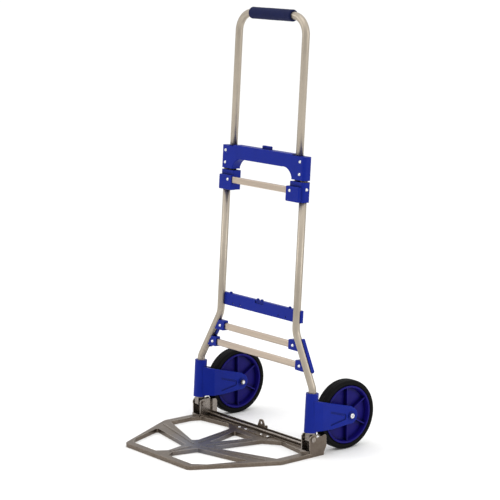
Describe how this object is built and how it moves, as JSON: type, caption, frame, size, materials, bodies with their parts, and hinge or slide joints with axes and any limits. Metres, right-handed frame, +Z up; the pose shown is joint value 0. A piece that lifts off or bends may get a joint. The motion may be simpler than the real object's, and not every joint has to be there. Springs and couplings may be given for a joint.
{
  "type": "hand truck",
  "caption": "Folding hand truck: leaning tube frame, sliding U handle with grip and release button, folding windowed toe plate and swivelling wheels.",
  "frame": {"origin": "On the floor, on the centre plane, at the middle of the overall depth from the toe plate's front edge to the back of the tyres.", "axes": "+Z up, +Y towards the back where the wheels are, +X to the right as seen from the front"},
  "size_m": [0.5042, 0.5124, 1.09],
  "materials": {
    "tube_aluminium": "satin champagne anodised tube",
    "bar_aluminium": "satin anodised flat extrusion",
    "toe_aluminium": "satin grey-brown formed plate",
    "blue_plastic": "moulded blue, fine satin",
    "rim_plastic": "moulded blue-violet, satin",
    "black_rubber": "solid rubber, matte",
    "grip_foam": "navy soft grip",
    "zinc_steel": "zinc plated",
    "rivet_metal": "bright rivet",
    "black_plastic": "moulded black nylon",
    "spring_steel": "spring steel"
  },
  "bodies": {
    "frame": {"frame_tube_right": "tube_aluminium", "frame_tube_left": "tube_aluminium", "arch_housing_front": "blue_plastic", "arch_housing_back": "blue_plastic", "handle_bushes": "blue_plastic", "housing_rivets": "rivet_metal", "button_spring": "spring_steel", "lower_block_right": "blue_plastic", "lower_block_left": "blue_plastic", "upper_flat_bar": "bar_aluminium", "block_rivets": "rivet_metal", "mid_crossbar": "blue_plastic", "crossbar_screws": "zinc_steel", "side_bracket_right": "blue_plastic", "side_bracket_left": "blue_plastic", "rung_lower": "bar_aluminium", "rung_upper": "bar_aluminium", "rung_rivets": "rivet_metal", "tube_foot_right": "zinc_steel", "tube_foot_left": "zinc_steel", "hinge_pin_right": "zinc_steel", "hinge_pin_left": "zinc_steel"},
    "handle": {"handle_tube": "tube_aluminium", "handle_grip": "grip_foam", "handle_end_plugs": "black_plastic"},
    "button": {"release_button": "blue_plastic"},
    "latch_right": {"latch_pin_right": "zinc_steel"},
    "latch_left": {"latch_pin_left": "zinc_steel"},
    "toe": {"toe_plate": "toe_aluminium", "hinge_bracket_right": "zinc_steel", "hinge_bracket_left": "zinc_steel", "rear_rail": "toe_aluminium", "tie_rod": "zinc_steel", "plate_rivets": "rivet_metal", "drive_hook_right": "zinc_steel", "drive_hook_left": "zinc_steel"},
    "fork_right": {"wheel_fork_right": "blue_plastic", "axle_bolt_right": "zinc_steel", "axle_nut_right": "zinc_steel", "axle_washers_right": "zinc_steel"},
    "fork_left": {"wheel_fork_left": "blue_plastic", "axle_bolt_left": "zinc_steel", "axle_nut_left": "zinc_steel", "axle_washers_left": "zinc_steel"},
    "wheel_right": {"wheel_rim_right": "rim_plastic", "tyre_right": "black_rubber", "hub_bush_right": "zinc_steel"},
    "wheel_left": {"wheel_rim_left": "rim_plastic", "tyre_left": "black_rubber", "hub_bush_left": "zinc_steel"}
  },
  "joints": [
    {"name": "handle_slide", "type": "slide", "parent": "frame", "child": "handle", "axis": [0, -0.0628, -0.998], "range_m": [0, 0.2725]},
    {"name": "button_press", "type": "slide", "parent": "frame", "child": "button", "axis": [0, -0.0628, -0.998], "range_m": [0, 0.008], "stiffness_N_per_m": 400, "springref_m": -0.004, "deforming": ["button_spring"]},
    {"name": "latch_right_slide", "type": "slide", "parent": "frame", "child": "latch_right", "axis": [-1, 0, 0], "range_m": [0, 0.006]},
    {"name": "latch_left_slide", "type": "slide", "parent": "frame", "child": "latch_left", "axis": [1, 0, 0], "range_m": [0, 0.006]},
    {"name": "toe_fold", "type": "hinge", "parent": "frame", "child": "toe", "pos_m": [0, 0.05025, 0.045], "axis": [-1, 0, 0], "range_deg": [0, 90]},
    {"name": "fork_right_swivel", "type": "hinge", "parent": "frame", "child": "fork_right", "pos_m": [0.225, 0.05402, 0.10488], "axis": [0, 0.0628, 0.998], "range_deg": [0, 90]},
    {"name": "fork_left_swivel", "type": "hinge", "parent": "frame", "child": "fork_left", "pos_m": [-0.225, 0.05402, 0.10488], "axis": [0, -0.0628, -0.998], "range_deg": [0, 90]},
    {"name": "wheel_right_spin", "type": "hinge", "parent": "fork_right", "child": "wheel_right", "pos_m": [0.219, 0.16825, 0.088], "axis": [1, 0, 0], "continuous": true},
    {"name": "wheel_left_spin", "type": "hinge", "parent": "fork_left", "child": "wheel_left", "pos_m": [-0.219, 0.16825, 0.088], "axis": [1, 0, 0], "continuous": true}
  ],
  "couplings": [
    {"joint": "latch_right_slide", "follows": "button_press", "ratio": 0.75},
    {"joint": "latch_left_slide", "follows": "button_press", "ratio": 0.75},
    {"joint": "fork_right_swivel", "follows": "toe_fold", "ratio": 1},
    {"joint": "fork_left_swivel", "follows": "toe_fold", "ratio": 1}
  ]
}
